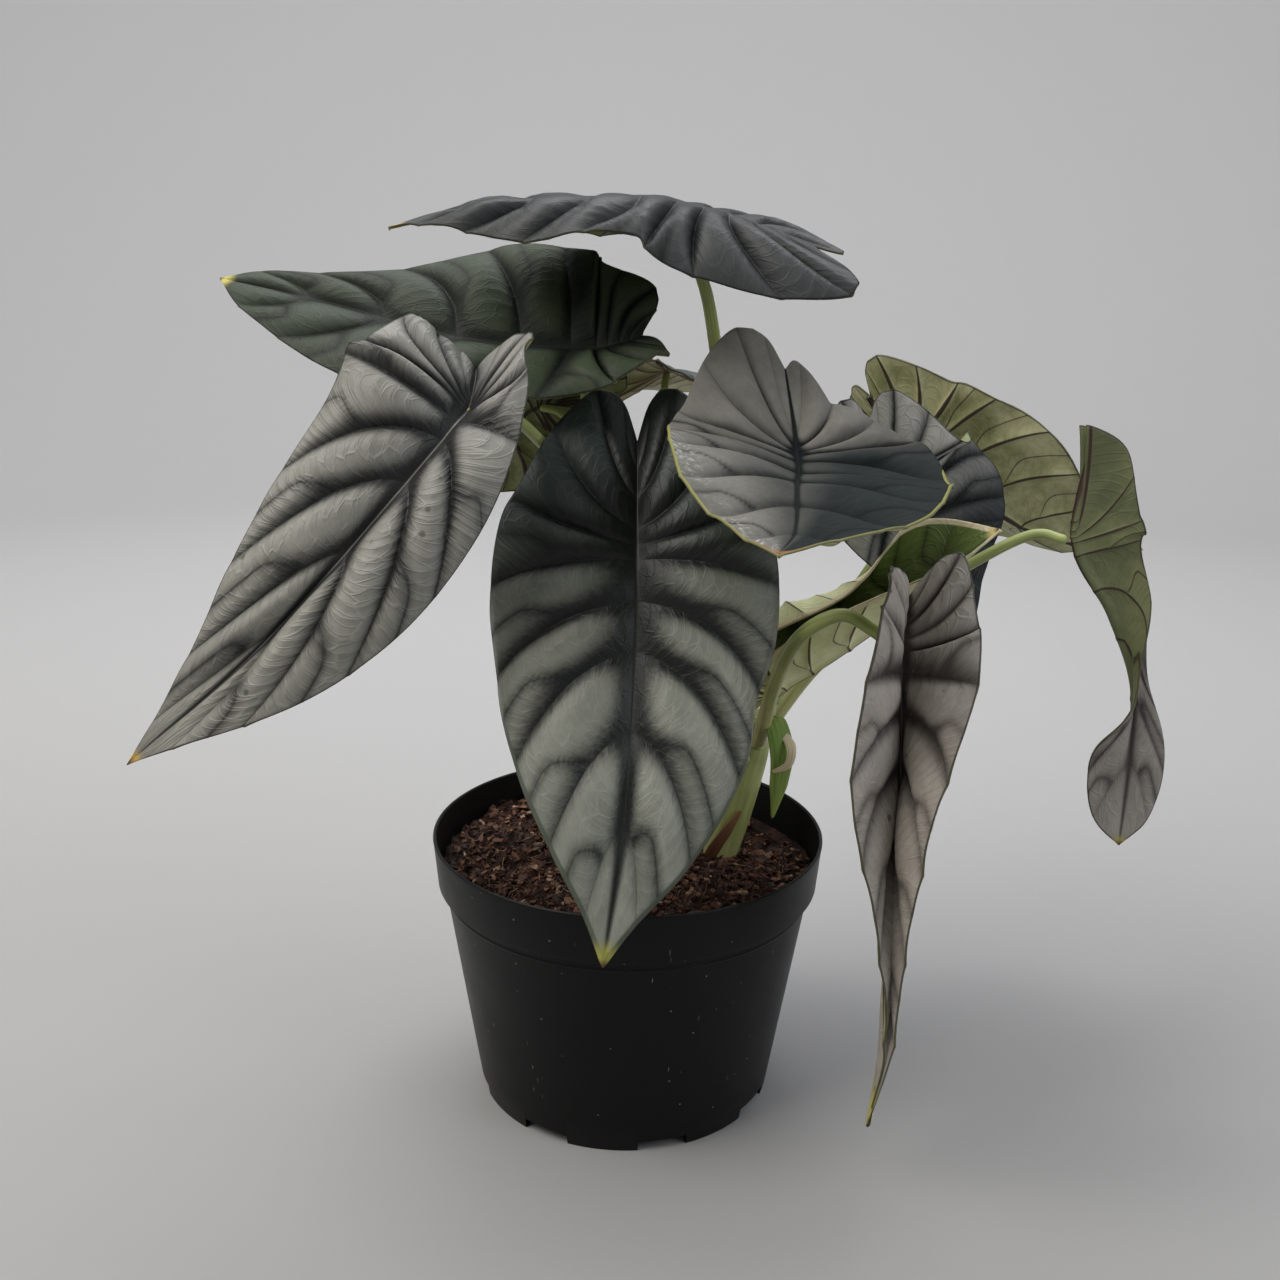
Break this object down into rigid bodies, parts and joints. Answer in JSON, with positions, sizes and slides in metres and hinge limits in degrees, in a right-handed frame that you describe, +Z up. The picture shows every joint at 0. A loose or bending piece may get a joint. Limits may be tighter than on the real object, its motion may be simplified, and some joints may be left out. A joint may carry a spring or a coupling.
{
  "type": "potted alocasia",
  "caption": "Aroid house plant in a round black nursery pot: arrow-shaped silver-grey leaves with dark sunken veins, hanging from green stalks over brown potting mix.",
  "frame": {"origin": "centre of the pot's underside, on the surface that the pot stands on", "axes": "+Z up, along the pot's axis; -Y towards the viewer of the picture, +X to the viewer's right"},
  "size_m": [0.4351, 0.3151, 0.383],
  "materials": {
    "black_plastic": "satin black injection-moulded polypropylene",
    "potting_mix": "rough damp brown coir and peat mix",
    "leaf": "leathery silver-grey leaf, dark green-black along the veins, olive underneath",
    "green_stalk": "smooth satin yellow-green leaf stalk",
    "dry_bract": "papery dry tan and brown sheath"
  },
  "bodies": {
    "root": {"pot": "black_plastic", "soil": "potting_mix", "stem": "green_stalk", "leaf_front_centre": "leaf", "petiole_front_centre": "green_stalk", "leaf_left_front": "leaf", "petiole_left_front": "green_stalk", "leaf_upper_left": "leaf", "petiole_upper_left": "green_stalk", "leaf_top": "leaf", "petiole_top": "green_stalk", "leaf_centre_right": "leaf", "petiole_centre_right": "green_stalk", "leaf_mid_right": "leaf", "petiole_mid_right": "green_stalk", "leaf_rolled": "leaf", "petiole_rolled": "green_stalk", "leaf_back_right": "leaf", "petiole_back_right": "green_stalk", "leaf_right_hanging": "leaf", "petiole_right_hanging": "green_stalk", "leaf_far_right": "leaf", "petiole_far_right": "green_stalk", "leaf_left_behind": "leaf", "petiole_left_behind": "green_stalk", "leaf_back_centre": "leaf", "petiole_back_centre": "green_stalk", "cataphyll": "green_stalk", "dry_sheath": "dry_bract", "dry_curl": "dry_bract"}
  },
  "joints": []
}
